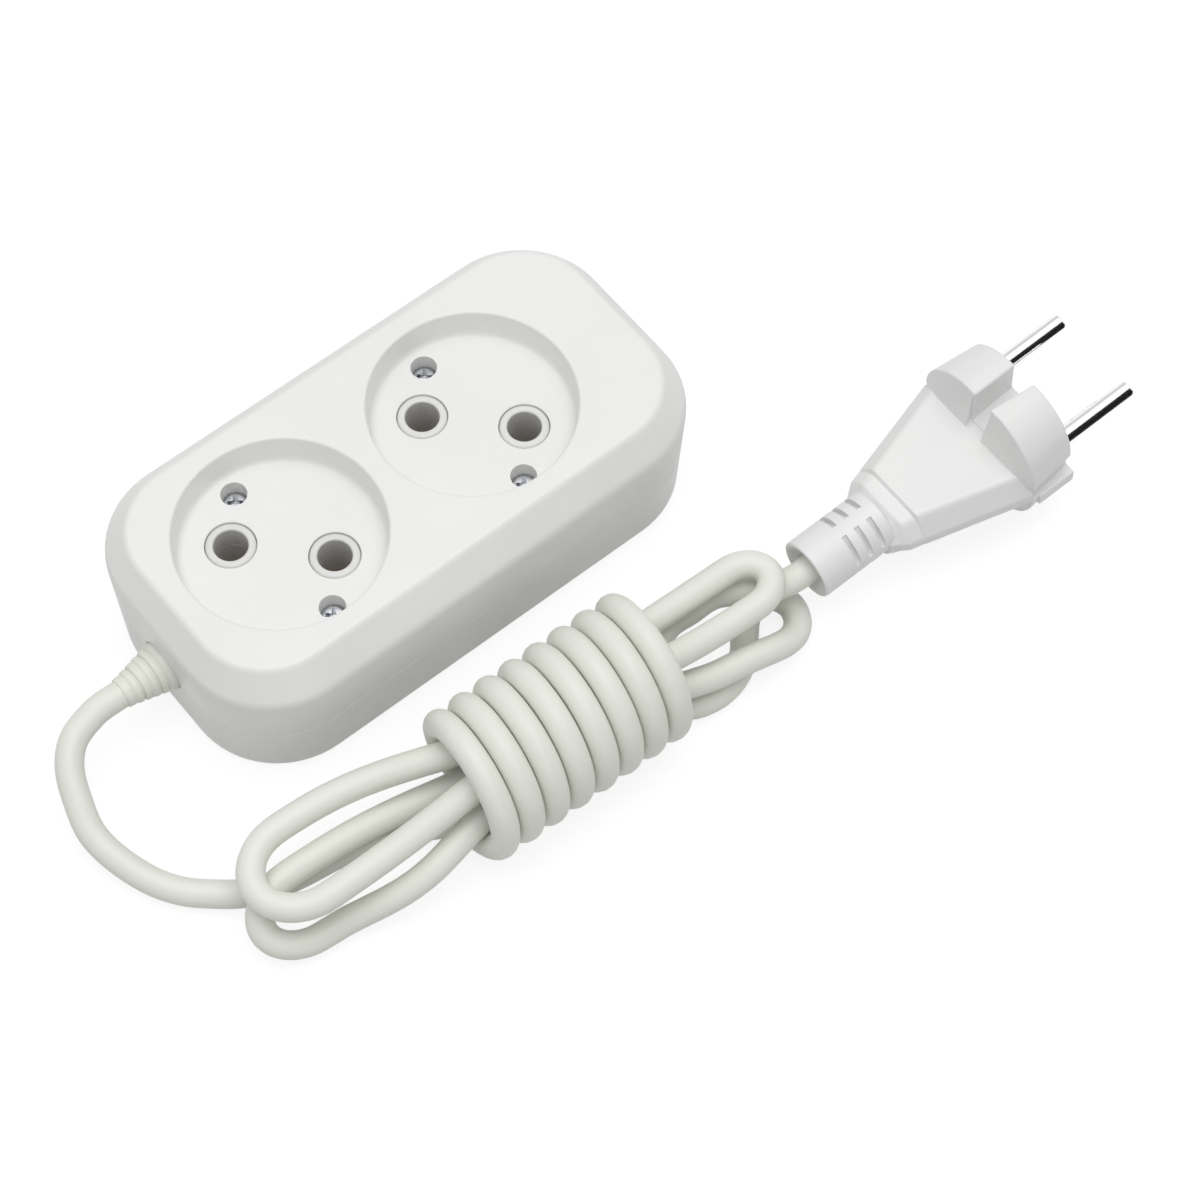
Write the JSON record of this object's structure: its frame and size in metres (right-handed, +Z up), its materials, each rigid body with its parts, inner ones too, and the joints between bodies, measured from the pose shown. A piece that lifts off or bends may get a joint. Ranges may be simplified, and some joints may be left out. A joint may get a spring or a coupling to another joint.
{
  "type": "extension cord",
  "caption": "Flat white extension cord: a bevelled body with round recessed outlets, a bound hank of round cord and a moulded plug with round pins.",
  "frame": {"origin": "middle of the socket body's flat underside", "axes": "+X along the body, away from the end where the cord leaves; +Y across it, away from the hank; +Z up"},
  "size_m": [0.206, 0.1018, 0.0315],
  "materials": {
    "body_shell": "smooth moulded plastic, satin",
    "insert": "moulded heat-resistant plastic",
    "cord_sheath": "soft smooth sheath",
    "plug_shell": "soft moulded plastic, satin",
    "pin_metal": "bright plating",
    "screw_steel": "plain zinc",
    "contact_brass": "pressed strip",
    "wire_brown": "wire insulation",
    "wire_blue": "wire insulation"
  },
  "bodies": {
    "root": {"top_cover": "body_shell", "bottom_base": "body_shell", "contact_carrier_1": "insert", "contact_carrier_2": "insert", "busbar_live": "contact_brass", "busbar_neutral": "contact_brass", "contact_sleeve_live_1": "contact_brass", "contact_sleeve_live_2": "contact_brass", "contact_sleeve_neutral_1": "contact_brass", "contact_sleeve_neutral_2": "contact_brass", "cover_screws": "screw_steel", "terminal_screws": "screw_steel", "wire_lugs": "screw_steel", "cord_clamp": "insert", "clamp_screws": "screw_steel", "cord_boot": "cord_sheath", "cord_inlet": "cord_sheath", "wire_live": "wire_brown", "wire_neutral": "wire_blue", "cord_lead": "cord_sheath", "cord_hank": "cord_sheath", "cord_tail": "cord_sheath", "plug_body": "plug_shell", "plug_boot": "plug_shell", "plug_bridge": "insert", "plug_pin_live": "pin_metal", "plug_pin_neutral": "pin_metal", "plug_crimps": "contact_brass", "plug_wire_live": "wire_brown", "plug_wire_neutral": "wire_blue", "plug_cord_end": "cord_sheath"}
  },
  "joints": []
}
